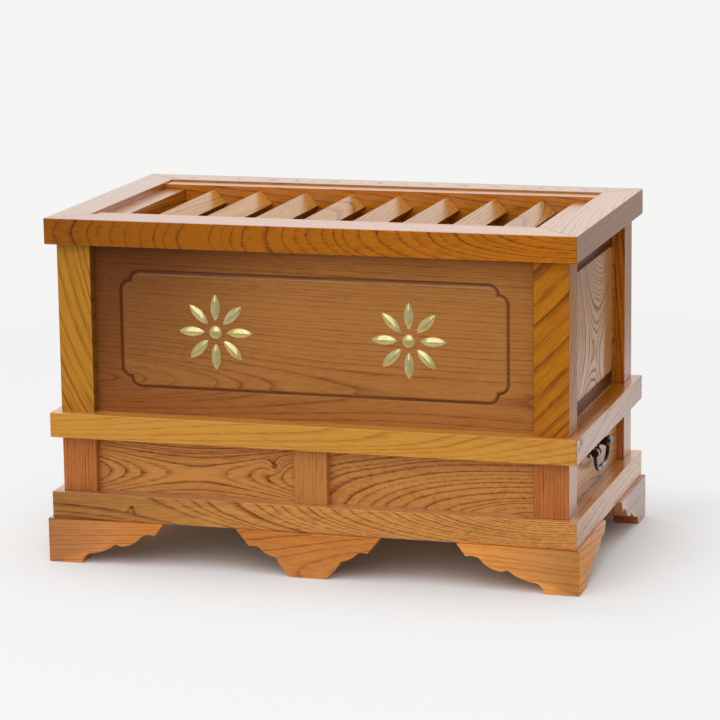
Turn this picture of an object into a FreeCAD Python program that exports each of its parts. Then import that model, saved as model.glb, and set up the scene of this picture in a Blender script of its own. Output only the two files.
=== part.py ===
# Donation box: a lacquered offertory chest on scrolled feet, with a coin grille above and a drawer.
# Millimetres. The origin is at the bottom centre, +Z is up, the front faces -Y, the drawer opens to +X.
import FreeCAD, Part
import math
import os
import re

import Sketcher

SIZES = {
    # Rails: the top frame, the belt between the two storeys, and the plinth, all with mitred corners.
    "frame_length": 600,
    "frame_depth": 346,
    "top_thick": 29,
    "top_width": 40,
    "belt_thick": 28,
    "belt_width": 62,
    "plinth_thick": 30,
    "plinth_width": 62,
    # Posts, and the stub tenons that they stand on and carry the rails with.
    "upper_height": 190,
    "lower_height": 62,
    "post_setback": 10.5,
    "post_side": 39,
    "tenon_side": 15,
    "tenon_inset": 10,
    "tenon_web": 4,
    # Panels in their grooves, and the muntins between the lower ones.
    "panel_recess": 12,
    "panel_thick": 12,
    "panel_tongue": 8,
    "muntin_width": 37.5,
    "muntin_step": 9,
    # The channel round each upper end panel, which leaves its middle as a raised field.
    "channel_depth": 6,
    "field_margin": 11,
    "field_foot": 18,
    "field_head": 28,
    "field_corner": 9,
    # Carving on the front panel: a border with cusped corners and two rosettes sunk for gilding.
    "border_inset": 30,
    "border_lobe": 11,
    "border_gouge": 2,
    "rosette_offset": 110,
    "rosette_radius": 43,
    "rosette_eye": 8,
    "rosette_depth": 2.5,
    "petal_gap": 4,
    "petal_bow": 22,
    # Coin grille: square bars set on the diagonal between two bearers, with a plain bar at each end.
    "bearer_width": 24,
    "bearer_height": 45,
    "bearer_drop": 2,
    "bar_side": 21,
    "bar_end_gap": 22.05,
    "ridge_drop": 6.5,
    "bar_socket": 9,
    "end_bar_width": 25,
    "end_bar_height": 30,
    "end_bar_drop": 7.5,
    # Floor of the drawer bay and the strips that guide the drawer.
    "floor_thick": 12,
    "floor_rebate": 10,
    "guide_height": 20,
    # Feet: mitred pairs of boards at the corners, and one board in the middle of the front and the rear.
    "foot_height": 50,
    "foot_proud": 4,
    "foot_board": 28,
    "foot_length": 136,
    "middle_foot_half": 82.5,
    "scroll_cove": 12,
    "scroll_sweep": 60,
    "scroll_notch": 6.5,
    "scroll_belly": 32,
    "scroll_arch": 17,
    "block_side": 24,
    "block_lift": 6,
    # Drawer.
    "drawer_recess": 8.5,
    "drawer_gap": 1,
    "slide_gap": 0.3,
    "drawer_front_thick": 20,
    "drawer_wall": 11,
    "drawer_wall_drop": 6,
    "drawer_lap": 10,
    "drawer_housing": 5,
    "drawer_bottom_thick": 6,
    "drawer_bottom_rise": 5,
    "drawer_rear_gap": 8,
    # Bail pull: two bolted eye posts above the drawer's middle, and a swinging bail.
    "pull_spacing": 50,
    "pull_rise": 13,
    "pull_reach": 9,
    "bolt_radius": 2.5,
    "bolt_spare": 3,
    "flange_radius": 8,
    "flange_thick": 2.5,
    "neck_radius": 4.4,
    "eye_radius": 5.4,
    "nut_radius": 6,
    "nut_thick": 4,
    "pin_radius": 1.6,
    "pin_gap": 0.05,
    "pin_spare": 1,
    "bail_gap": 0.5,
    "bail_wire": 2.3,
    "boss_radius": 4.6,
    "boss_lip": 0.8,
    "bail_drop": 22.5,
    "bail_corner": 21,
    "grip_radius": 3.3,
    "grip_half": 16,
}
BAR_COUNT = 8
PETAL_COUNT = 8
NUT_SIDE_COUNT = 6

# Scrolled outlines of the feet, as shares of a foot's length (or half length) and of its height.
CORNER_SCROLL = [(0, 1), (0, 0), (0.29, 0), (0.353, 0.23), (0.55, 0.41), (0.62, 0.436)]
CORNER_SCROLL += [(0.81, 0.69), (0.923, 0.72), (1, 1)]
MIDDLE_SCROLL = [(0.242, 0), (0.448, 0.41), (0.497, 0.436), (0.69, 0.63), (0.824, 0.636), (1, 1)]

# Formulas of the levels, and of the distances in from the rails' outer faces.
HALF_LENGTH = "(frame_length / 2)"
HALF_DEPTH = "(frame_depth / 2)"
BAY_BOTTOM = "(foot_height + plinth_thick)"
BELT_BOTTOM = f"({BAY_BOTTOM} + lower_height)"
BELT_TOP = f"({BELT_BOTTOM} + belt_thick)"
FRAME_BOTTOM = f"({BELT_TOP} + upper_height)"
FRAME_TOP = f"({FRAME_BOTTOM} + top_thick)"
TENON = "((belt_thick - tenon_web) / 2)"
POST_INNER = "(post_setback + post_side)"
PANEL_OUTER = "(post_setback + panel_recess)"
PANEL_INNER = f"({PANEL_OUTER} + panel_thick)"
BEARER_INNER = "(top_width + bearer_width)"

# Each side has its own frame: x along it from its middle, y in from the rails' outer face, z up.
SIDES = {"front": 0, "right": 90, "rear": 180, "left": 270}
SPAN = {
    "front": "frame_length",
    "right": "frame_depth",
    "rear": "frame_length",
    "left": "frame_depth",
}
CORNERS = ("front_left", "front_right", "rear_right", "rear_left")

doc = FreeCAD.newDocument("donation_box")
sheet = doc.addObject("Spreadsheet::Sheet", "sizes")
for row, (alias, number) in enumerate(SIZES.items(), start=1):
    sheet.set(f"A{row}", alias)
    sheet.set(f"B{row}", str(number))
    sheet.setAlias(f"B{row}", alias)
doc.recompute()

nodes = []


def formula(text):
    """Turn a formula of size names into one that reads the sheet."""
    return re.sub(r"[a-z_]+", lambda word: f"sizes.{word[0]}" if word[0] in SIZES else word[0], text)


def value(text):
    return float(sheet.evalExpression(formula(text)))


def bind(thing, **formulas):
    for name, text in formulas.items():
        thing.setExpression(name, formula(text))


def put(piece, x, y, z):
    """Place a piece's own origin."""
    for axis, text in (("x", x), ("y", y), ("z", z)):
        piece.setExpression(f"Placement.Base.{axis}", formula(text))


def stand(piece, side, along, inward, height):
    """Place a piece's own origin in one side's frame, turned to face out of that side."""
    x, y = {
        "front": (along, f"{inward} - {HALF_DEPTH}"),
        "right": (f"{HALF_LENGTH} - ({inward})", along),
        "rear": (f"-({along})", f"{HALF_DEPTH} - ({inward})"),
        "left": (f"{inward} - {HALF_LENGTH}", f"-({along})"),
    }[side]
    piece.Placement.Rotation = FreeCAD.Rotation(FreeCAD.Vector(0, 0, 1), SIDES[side])
    put(piece, x, y, height)


def keep(piece, label):
    """Name a finished sub-part, which makes it a node."""
    piece.Label = label
    nodes.append(piece)
    return piece


def plain_box(name, length, width, height):
    box = doc.addObject("Part::Box", name)
    bind(box, Length=length, Width=width, Height=height)
    return box


def side_box(side, name, along, inward, up):
    """A board in one side's frame, from (start, size) pairs of formulas."""
    box = plain_box(f"{side}_{name}", along[1], inward[1], up[1])
    stand(box, side, along[0], inward[0], up[0])
    return box


def from_corner(corner, inset, size):
    """Where a stick of this size starts in x and y, set in from both rails at a corner."""
    x = f"{inset} - {HALF_LENGTH}" if "left" in corner else f"{HALF_LENGTH} - {inset} - {size}"
    y = f"{inset} - {HALF_DEPTH}" if "front" in corner else f"{HALF_DEPTH} - {inset} - {size}"
    return x, y


def let_into(host, guests, label):
    """Cut the housings in a piece for the pieces that are let into it."""
    for guest in guests:
        cut = doc.addObject("Part::Cut", f"{label}_housing")
        cut.Base = host
        cut.Tool = guest
        host = cut
    return keep(host, label)


def meeting(place, pieces):
    """The pieces whose labels name this side, or one of the two sides of this corner."""
    return [piece for piece in pieces if any(side in piece.Label for side in place.split("_"))]


def fused(name, pieces):
    fuse = doc.addObject("Part::MultiFuse", name)
    fuse.Shapes = pieces
    return fuse


def grouped(name, pieces):
    group = doc.addObject("Part::Compound", name)
    group.Links = pieces
    return group


def sketch_on(body, role, name):
    sketch = body.newObject("Sketcher::SketchObject", name)
    plane = next(datum for datum in body.Origin.OriginFeatures if datum.Role == role)
    sketch.AttachmentSupport = [(plane, "")]
    sketch.MapMode = "FlatFace"
    return sketch


def tie(sketch, constraint, text):
    number = sketch.addConstraint(constraint)
    sketch.setExpression(f"Constraints[{number}]", formula(text))


def add_arc(sketch, start, end, radius, turn):
    """Join two points by an arc that turns left (1) or right (-1), and name its end vertices."""
    chord = end - start
    size = value(radius)
    rise = math.sqrt(max(size**2 - (chord.Length / 2) ** 2, 0))
    leftward = FreeCAD.Vector(-chord.y, chord.x, 0) / chord.Length
    centre = (start + end) / 2 + leftward * rise * turn
    angles = [math.atan2(spot.y - centre.y, spot.x - centre.x) for spot in (start, end)]
    circle = Part.Circle(centre, FreeCAD.Vector(0, 0, 1), size)
    edge = sketch.addGeometry(Part.ArcOfCircle(circle, *angles[::turn]))
    tie(sketch, Sketcher.Constraint("Radius", edge, size), radius)
    return (edge, 1, 2) if turn > 0 else (edge, 2, 1)


def outline(sketch, points, arcs, closed=True):
    """Draw an outline, or an open route, through points, pairs of formulas.

    arcs holds (radius, turn) by the number of the point that the side leaves. Other sides are straight.
    """
    spots = [FreeCAD.Vector(value(x), value(y), 0) for x, y in points]
    ends = spots[1:] + spots[:1] if closed else spots[1:]
    sides = []
    for number, (start, end) in enumerate(zip(spots, ends)):
        if number in arcs:
            sides.append(add_arc(sketch, start, end, *arcs[number]))
        else:
            sides.append((sketch.addGeometry(Part.LineSegment(start, end)), 1, 2))
    leaving = [(edge, first) for edge, first, _ in sides]
    arriving = [(edge, last) for edge, _, last in sides]
    for number, vertex in enumerate(leaving):
        if closed or number > 0:
            sketch.addConstraint(Sketcher.Constraint("Coincident", *arriving[number - 1], *vertex))
    if not closed:
        leaving.append(arriving[-1])
    for vertex, (x, y) in zip(leaving, points):
        tie(sketch, Sketcher.Constraint("DistanceX", -1, 1, *vertex, value(x)), x)
        tie(sketch, Sketcher.Constraint("DistanceY", -1, 1, *vertex, value(y)), y)


def circle_on(sketch, x, y, radius):
    centre = FreeCAD.Vector(value(x), value(y), 0)
    edge = sketch.addGeometry(Part.Circle(centre, FreeCAD.Vector(0, 0, 1), value(radius)))
    tie(sketch, Sketcher.Constraint("DistanceX", -1, 1, edge, 3, centre.x), x)
    tie(sketch, Sketcher.Constraint("DistanceY", -1, 1, edge, 3, centre.y), y)
    tie(sketch, Sketcher.Constraint("Radius", edge, value(radius)), radius)


def pad(body, sketch, length, inward=True):
    """Pad a sketch by a length, towards +Y from the XZ plane unless inward is False."""
    feature = body.newObject("PartDesign::Pad", f"{body.Name}_pad")
    feature.Profile = sketch
    feature.Reversed = inward
    bind(feature, Length=length)
    return feature


def sink(body, sketch, depth):
    """Pocket a sketch on the XZ plane into a board behind it."""
    feature = body.newObject("PartDesign::Pocket", f"{sketch.Name}_cut")
    feature.Profile = sketch
    bind(feature, Length=depth)
    doc.recompute()
    return feature


def mitred_rail(side, name, width, thick, height, proud="0"):
    """A rail along one side with both ends mitred, its outer face proud of the others by some amount."""
    rail = doc.addObject("Part::Wedge", f"{side}_{name}")
    outer = f"({SPAN[side]} / 2 + {proud})"
    inner = f"({outer} - {width})"
    bind(rail, Xmin=f"-{outer}", Xmax=outer, X2min=f"-{inner}", X2max=inner)
    bind(rail, Ymin="0", Ymax=width, Zmin="0", Zmax=thick, Z2min="0", Z2max=thick)
    stand(rail, side, "0", f"-{proud}", height)
    return rail


def post_blank(corner, storey, bottom, height):
    """A square post with a stub tenon above and below."""
    x, y = from_corner(corner, "post_setback", "post_side")
    shaft = plain_box(f"{storey}_shaft", "post_side", "post_side", height)
    put(shaft, x, y, bottom)
    x, y = from_corner(corner, "(post_setback + tenon_inset)", "tenon_side")
    tenons = plain_box(f"{storey}_tenons", "tenon_side", "tenon_side", f"{height} + 2 * {TENON}")
    put(tenons, x, y, f"{bottom} - {TENON}")
    return fused(f"{storey}_post_blank", [shaft, tenons])


def panel_between(side, name, start, end, bottom, height):
    """A plain panel that fills the opening from start to end and enters the grooves all round."""
    return side_box(
        side,
        name,
        (f"{start} - panel_tongue", f"{end} - ({start}) + 2 * panel_tongue"),
        (PANEL_OUTER, "panel_thick"),
        (f"{bottom} - panel_tongue", f"{height} + 2 * panel_tongue"),
    )


def border_path(body):
    """The middle line of the carved border: a rectangle whose corners are two lobes and a cusp."""
    right = f"({HALF_LENGTH} - {POST_INNER} - border_inset)"
    bottom = f"({BELT_TOP} + border_inset)"
    top = f"({FRAME_BOTTOM} - border_inset)"
    lobe = "border_lobe"
    corner_points = [
        (f"{right} - 2 * {lobe}", f"{bottom}"),
        (f"{right} - {lobe}", f"{bottom} + {lobe}"),
        (f"{right}", f"{bottom} + 2 * {lobe}"),
        (f"{right}", f"{top} - 2 * {lobe}"),
        (f"{right} - {lobe}", f"{top} - {lobe}"),
        (f"{right} - 2 * {lobe}", f"{top}"),
    ]
    mirrored = [(f"-({x})", y) for x, y in reversed(corner_points)]
    points = [("0", bottom)] + corner_points + mirrored
    lobes = {number: (lobe, 1) for number in (1, 2, 4, 5, 7, 8, 10, 11)}
    path = sketch_on(body, "XZ_Plane", "border_path")
    outline(path, points, lobes)
    return path, bottom


def carve_border(body):
    """Run a round gouge along the border."""
    path, bottom = border_path(body)
    gouge = sketch_on(body, "YZ_Plane", "gouge")
    circle_on(gouge, "0", bottom, "border_gouge")
    groove = body.newObject("PartDesign::SubtractivePipe", "border_groove")
    groove.Profile = gouge
    groove.Spine = (path, [""])
    groove.Transition = "Round corner"


def carve_rosette(body, offset):
    """Sink a rosette of leaf-shaped petals round a plain eye."""
    height = f"({BELT_TOP} + upper_height / 2)"
    petal = sketch_on(body, "XZ_Plane", "petal")
    eye = sketch_on(body, "XZ_Plane", "rosette_eye")
    for sketch in (petal, eye):
        sketch.setExpression("AttachmentOffset.Base.x", formula(offset))
        sketch.setExpression("AttachmentOffset.Base.y", formula(height))
    tips = [("rosette_eye + petal_gap", "0"), ("rosette_radius", "0")]
    outline(petal, tips, {0: ("petal_bow", 1), 1: ("petal_bow", 1)})
    circle_on(eye, "0", "0", "rosette_eye")
    sink(body, eye, "rosette_depth")
    first_petal = sink(body, petal, "rosette_depth")
    ring = body.newObject("PartDesign::PolarPattern", "petals")
    ring.Originals = [first_petal]
    ring.Axis = (petal, ["N_Axis"])
    ring.Angle = 360
    ring.Occurrences = PETAL_COUNT
    body.Tip = ring


def carved_front_panel():
    """The front panel of the upper storey, a board with a carved border and two rosettes."""
    body = doc.addObject("PartDesign::Body", "front_panel_board")
    edge = f"({HALF_LENGTH} - {POST_INNER} + panel_tongue)"
    bottom = f"{BELT_TOP} - panel_tongue"
    top = f"{FRAME_BOTTOM} + panel_tongue"
    board = sketch_on(body, "XZ_Plane", "board")
    outline(board, [(f"-{edge}", bottom), (edge, bottom), (edge, top), (f"-{edge}", top)], {})
    pad(body, board, "panel_thick")
    for offset in ("-rosette_offset", "rosette_offset"):
        carve_rosette(body, offset)
    carve_border(body)
    stand(body, "front", "0", PANEL_OUTER, "0")
    return body


def fielded(side, board, reach):
    """An end panel: a channel between the frame and a raised field with round corners."""
    body = doc.addObject("PartDesign::Body", f"{side}_channel")
    ring = sketch_on(body, "XZ_Plane", "channel_ring")
    frame = [(f"-{reach}", BELT_TOP), (reach, BELT_TOP), (reach, FRAME_BOTTOM), (f"-{reach}", FRAME_BOTTOM)]
    outline(ring, frame, {})
    edge = f"({reach} - field_margin)"
    bottom = f"({BELT_TOP} + field_foot)"
    top = f"({FRAME_BOTTOM} - field_head)"
    right_side = [
        (f"{edge} - field_corner", bottom),
        (edge, f"{bottom} + field_corner"),
        (edge, f"{top} - field_corner"),
        (f"{edge} - field_corner", top),
    ]
    left_side = [(f"-({x})", z) for x, z in reversed(right_side)]
    outline(ring, right_side + left_side, {number: ("field_corner", 1) for number in (0, 2, 4, 6)})
    pad(body, ring, "channel_depth")
    stand(body, side, "0", PANEL_OUTER, "0")
    panel = doc.addObject("Part::Cut", f"{side}_panel_channelled")
    panel.Base = board
    panel.Tool = body
    return panel


def upper_panels():
    """Panels for all four sides. The boards shape the grooves, also for the panels cut from them."""
    boards = []
    for side in SIDES:
        reach = f"({SPAN[side]} / 2 - {POST_INNER})"
        board = panel_between(side, "upper_board", f"-{reach}", reach, BELT_TOP, "upper_height")
        boards.append(board)
        if side in ("left", "right"):
            keep(fielded(side, board, reach), f"upper_panel_{side}")
        elif side == "rear":
            keep(board, "upper_panel_rear")
    keep(carved_front_panel(), "upper_panel_front")
    return boards


def lower_panels():
    """Two panels each at the front and the rear, one at the left, and none at the drawer's end."""
    reach = f"({SPAN['front']} / 2 - {POST_INNER})"
    middle = "(muntin_width / 2)"
    panels = []
    for side, hands in (("front", ("left", "right")), ("rear", ("right", "left"))):
        for hand, start, end in ((hands[0], f"-{reach}", f"-{middle}"), (hands[1], middle, reach)):
            panel = panel_between(side, "lower_panel", start, end, BAY_BOTTOM, "lower_height")
            panels.append(keep(panel, f"lower_panel_{side}_{hand}"))
    reach = f"({SPAN['left']} / 2 - {POST_INNER})"
    panel = panel_between("left", "lower_panel", f"-{reach}", reach, BAY_BOTTOM, "lower_height")
    panels.append(keep(panel, "lower_panel_left"))
    return panels


def muntins(panels):
    """The uprights between the lower panels, with stub tenons, grooved for the panels."""
    made = []
    for side in ("front", "rear"):
        depth = "(post_side - muntin_step)"
        shaft = side_box(
            side,
            "muntin_shaft",
            ("-muntin_width / 2", "muntin_width"),
            ("post_setback", depth),
            (BAY_BOTTOM, "lower_height"),
        )
        tenons = side_box(
            side,
            "muntin_tenons",
            ("-tenon_side / 2", "tenon_side"),
            ("post_setback + tenon_inset", "tenon_side"),
            (f"{BAY_BOTTOM} - {TENON}", f"lower_height + 2 * {TENON}"),
        )
        blank = fused(f"{side}_muntin_blank", [shaft, tenons])
        made.append(let_into(blank, meeting(side, panels), f"muntin_{side}"))
    return made


def posts(storey, bottom, height, panels):
    """Four corner posts of one storey, grooved for its panels."""
    made = []
    for corner in CORNERS:
        blank = post_blank(corner, storey, bottom, height)
        made.append(let_into(blank, meeting(corner, panels), f"{storey}_post_{corner}"))
    return made


def rails(name, width, thick, height, guests, floor=()):
    """Four mitred rails with housings for the tenons and panels that enter them, and for a floor."""
    for side in SIDES:
        rail = mitred_rail(side, f"{name}_blank", width, thick, height)
        let_into(rail, [*meeting(side, guests), *floor], f"{name}_rail_{side}")


def bar_places():
    """Formulas of the grille bars' middle planes, spread evenly between the gaps at the end bars."""
    first_face = "(top_width + end_bar_width + bar_end_gap)"
    run = f"(frame_length - 2 * {first_face} - sqrt(2) * bar_side)"
    steps = BAR_COUNT - 1
    return [f"{number / steps - 0.5} * {run}" for number in range(BAR_COUNT)]


def grille_bars():
    """Square bars on the diagonal, their ends in the bearers' sockets."""
    half = "(bar_side / sqrt(2))"
    bars = []
    for number, place in enumerate(bar_places(), start=1):
        body = doc.addObject("PartDesign::Body", "grille_bar")
        section = sketch_on(body, "XZ_Plane", "bar_section")
        outline(section, [("0", f"-{half}"), (half, "0"), ("0", half), (f"-{half}", "0")], {})
        pad(body, section, f"2 * ({HALF_DEPTH} - {BEARER_INNER} + bar_socket)")
        start = f"{BEARER_INNER} - bar_socket - {HALF_DEPTH}"
        put(body, place, start, f"{FRAME_TOP} - ridge_drop - {half}")
        bars.append(keep(body, f"grille_bar_{number}"))
    return bars


def end_bars(guests):
    """Plain bars along the left and right rails, level with the grille."""
    bars = []
    for side in ("left", "right"):
        reach = f"({SPAN[side]} / 2 - {BEARER_INNER} + bar_socket)"
        bar = side_box(
            side,
            "end_bar_blank",
            (f"-{reach}", f"2 * {reach}"),
            ("top_width", "end_bar_width"),
            (f"{FRAME_TOP} - end_bar_drop - end_bar_height", "end_bar_height"),
        )
        bars.append(let_into(bar, meeting(side, guests), f"grille_end_bar_{side}"))
    return bars


def bearers(guests, bars):
    """Inner rails at the front and rear that carry the grille and sit on the posts' inner corners."""
    for side in ("front", "rear"):
        reach = f"({SPAN[side]} / 2 - top_width)"
        bearer = side_box(
            side,
            "bearer_blank",
            (f"-{reach}", f"2 * {reach}"),
            ("top_width", "bearer_width"),
            (f"{FRAME_TOP} - bearer_drop - bearer_height", "bearer_height"),
        )
        let_into(bearer, meeting(side, guests) + bars, f"grille_bearer_{side}")


def bay_floor():
    """The floor of the drawer bay, flush with the plinth's top and let into its inner edges."""
    x = f"({HALF_LENGTH} - plinth_width + floor_rebate)"
    y = f"({HALF_DEPTH} - plinth_width + floor_rebate)"
    floor = plain_box("bay_floor_board", f"2 * {x}", f"2 * {y}", "floor_thick")
    put(floor, f"-{x}", f"-{y}", f"{BAY_BOTTOM} - floor_thick")
    return keep(floor, "bay_floor")


def drawer_guides(uprights):
    """Strips on the bay's floor that fill the room between the drawer and the panels."""
    strips = []
    for side in ("front", "rear"):
        reach = f"({SPAN[side]} / 2 - {POST_INNER})"
        strip = side_box(
            side,
            "guide",
            (f"-{reach}", f"2 * {reach}"),
            (PANEL_INNER, f"{POST_INNER} - {PANEL_INNER} + drawer_gap / 2"),
            (BAY_BOTTOM, "guide_height"),
        )
        for upright in uprights:
            cut = doc.addObject("Part::Cut", "guide_notch")
            cut.Base = strip
            cut.Tool = upright
            strip = cut
        strips.append(strip)
    keep(grouped("guides", strips), "drawer_guides")


def corner_foot_board(side, hand):
    """One board of a corner foot: hand is -1 at the left end of its side and 1 at the right end."""
    body = doc.addObject("PartDesign::Body", "foot_scroll")
    face = sketch_on(body, "XZ_Plane", "scroll")
    outer = f"({SPAN[side]} / 2 + foot_proud)"
    points = []
    for share, rise in CORNER_SCROLL:
        points.append((f"{hand} * ({outer} - {share} * foot_length)", f"{rise} * foot_height"))
    coves = {2: ("scroll_cove", hand), 4: ("scroll_notch", hand), 6: ("scroll_arch", hand)}
    bellies = {3: ("scroll_sweep", -hand), 5: ("scroll_belly", -hand)}
    outline(face, points, {**coves, **bellies})
    pad(body, face, "foot_board")
    stand(body, side, "0", "-foot_proud", "0")
    board = doc.addObject("Part::Common", "foot_board_mitred")
    board.Base = mitred_rail(side, "foot_blank", "foot_board", "foot_height", "0", "foot_proud")
    board.Tool = body
    return board


def corner_feet():
    """Each corner foot is two boards that meet in a mitre."""
    ends = {
        "front_left": (("front", -1), ("left", 1)),
        "front_right": (("front", 1), ("right", -1)),
        "rear_right": (("rear", -1), ("right", 1)),
        "rear_left": (("rear", 1), ("left", -1)),
    }
    for corner, boards in ends.items():
        pair = [corner_foot_board(side, hand) for side, hand in boards]
        keep(grouped("corner_foot", pair), f"foot_{corner}")


def middle_feet():
    """A scrolled board under the middle of the front and the rear."""
    right = [(f"{share} * middle_foot_half", f"{rise} * foot_height") for share, rise in MIDDLE_SCROLL]
    left = [(f"-{x}", z) for x, z in reversed(right)]
    last_side = len(right + left) - 2
    turns = [("scroll_sweep", 1), ("scroll_notch", -1), ("scroll_belly", 1), ("scroll_arch", -1)]
    arcs = {}
    for number, turn in enumerate(turns):
        arcs[number] = turn
        arcs[last_side - number] = turn
    for side in ("front", "rear"):
        body = doc.addObject("PartDesign::Body", "middle_foot")
        face = sketch_on(body, "XZ_Plane", "middle_scroll")
        outline(face, right + left, arcs)
        pad(body, face, "foot_board")
        stand(body, side, "0", "-foot_proud", "0")
        keep(body, f"foot_middle_{side}")


def glue_blocks():
    """Square blocks in the inner corners of the feet and behind the middle feet."""
    blocks = []
    inset = "(foot_board - foot_proud)"
    tall = "foot_height - block_lift"
    for corner in CORNERS:
        block = plain_box("corner_block", "block_side", "block_side", tall)
        put(block, *from_corner(corner, inset, "block_side"), "block_lift")
        blocks.append(block)
    for side in ("front", "rear"):
        across = ("-block_side / 2", "block_side")
        inward = (inset, "block_side")
        blocks.append(side_box(side, "middle_block", across, inward, ("block_lift", tall)))
    keep(grouped("blocks", blocks), "foot_glue_blocks")


# Formulas of the drawer, which is as wide as the opening between the posts less a gap at each side.
DRAWER_HALF = f"({HALF_DEPTH} - {POST_INNER} - drawer_gap)"
DRAWER_FACE = f"({HALF_LENGTH} - post_setback - drawer_recess)"
DRAWER_BACK = f"({PANEL_INNER} + drawer_rear_gap - {HALF_LENGTH})"
DRAWER_BOTTOM = f"({BAY_BOTTOM} + slide_gap)"
DRAWER_HEIGHT = "(lower_height - slide_gap - drawer_gap)"
PULL_HEIGHT = f"({BAY_BOTTOM} + lower_height / 2 + pull_rise)"


def drawer():
    """An open box: walls lapped into a thick front, a back housed in the walls, and a grooved bottom."""
    wall_length = f"({DRAWER_FACE} - drawer_front_thick + drawer_lap - {DRAWER_BACK})"
    wall_height = f"({DRAWER_HEIGHT} - drawer_wall_drop)"
    inside = f"({DRAWER_HALF} - drawer_wall)"
    front = plain_box("front_board", "drawer_front_thick", f"2 * {DRAWER_HALF}", DRAWER_HEIGHT)
    put(front, f"{DRAWER_FACE} - drawer_front_thick", f"-{DRAWER_HALF}", DRAWER_BOTTOM)
    walls = {}
    for name, start in (("front", f"-{DRAWER_HALF}"), ("rear", inside)):
        walls[name] = plain_box(f"{name}_wall_board", wall_length, "drawer_wall", wall_height)
        put(walls[name], DRAWER_BACK, start, DRAWER_BOTTOM)
    back_half = f"({inside} + drawer_housing)"
    back = plain_box("back_board", "drawer_wall", f"2 * {back_half}", wall_height)
    put(back, f"{DRAWER_BACK} + drawer_wall", f"-{back_half}", DRAWER_BOTTOM)
    bottom_start = f"({DRAWER_BACK} + 2 * drawer_wall - drawer_housing)"
    bottom_end = f"({DRAWER_FACE} - drawer_front_thick + drawer_housing)"
    bottom_length = f"{bottom_end} - {bottom_start}"
    bottom = plain_box("bottom_board", bottom_length, f"2 * {back_half}", "drawer_bottom_thick")
    put(bottom, bottom_start, f"-{back_half}", f"{DRAWER_BOTTOM} + drawer_bottom_rise")
    bolts = pull_posts()
    keep(bottom, "drawer_bottom")
    let_into(back, [bottom], "drawer_back")
    for name, wall in walls.items():
        let_into(wall, [bottom, back], f"drawer_wall_{name}")
    let_into(front, [bottom, *walls.values(), bolts], "drawer_front")


def pull_post(y):
    """One turned eye post along +X: a bolt through the drawer front, a flange and a bored ball."""
    tail = "(drawer_front_thick + nut_thick + bolt_spare)"
    ball_start = "(pull_reach - sqrt(eye_radius ^ 2 - neck_radius ^ 2))"
    body = doc.addObject("PartDesign::Body", "pull_post_turned")
    profile = sketch_on(body, "XZ_Plane", "post_profile")
    points = [
        (f"-{tail}", "0"),
        ("pull_reach + eye_radius", "0"),
        (ball_start, "neck_radius"),
        ("flange_thick", "neck_radius"),
        ("flange_thick", "flange_radius"),
        ("0", "flange_radius"),
        ("0", "bolt_radius"),
        (f"-{tail}", "bolt_radius"),
    ]
    outline(profile, points, {1: ("eye_radius", 1)})
    turned = body.newObject("PartDesign::Revolution", "post_turned")
    turned.Profile = profile
    turned.ReferenceAxis = (profile, ["H_Axis"])
    turned.Angle = 360
    put(body, DRAWER_FACE, y, PULL_HEIGHT)
    bore = doc.addObject("Part::Cylinder", "eye_bore")
    bore.Placement.Rotation = FreeCAD.Rotation(FreeCAD.Vector(1, 0, 0), -90)
    bind(bore, Radius="pin_radius + pin_gap", Height="2 * eye_radius")
    put(bore, f"{DRAWER_FACE} + pull_reach", f"{y} - eye_radius", PULL_HEIGHT)
    post = doc.addObject("Part::Cut", "pull_post_bored")
    post.Base = body
    post.Tool = bore
    return post


def pull_posts():
    """Both eye posts and the nuts that hold them inside the drawer front."""
    places = ("-pull_spacing / 2", "pull_spacing / 2")
    bolts = keep(grouped("bolts", [pull_post(place) for place in places]), "pull_posts")
    nuts = []
    for place in places:
        nut = doc.addObject("Part::Prism", "pull_nut_blank")
        nut.Polygon = NUT_SIDE_COUNT
        nut.Placement.Rotation = FreeCAD.Rotation(FreeCAD.Vector(0, 1, 0), 90)
        bind(nut, Circumradius="nut_radius", Height="nut_thick")
        put(nut, f"{DRAWER_FACE} - drawer_front_thick - nut_thick", place, PULL_HEIGHT)
        tapped = doc.addObject("Part::Cut", "pull_nut_tapped")
        tapped.Base = nut
        tapped.Tool = bolts
        nuts.append(tapped)
    keep(grouped("nuts", nuts), "pull_nuts")
    return bolts


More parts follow.
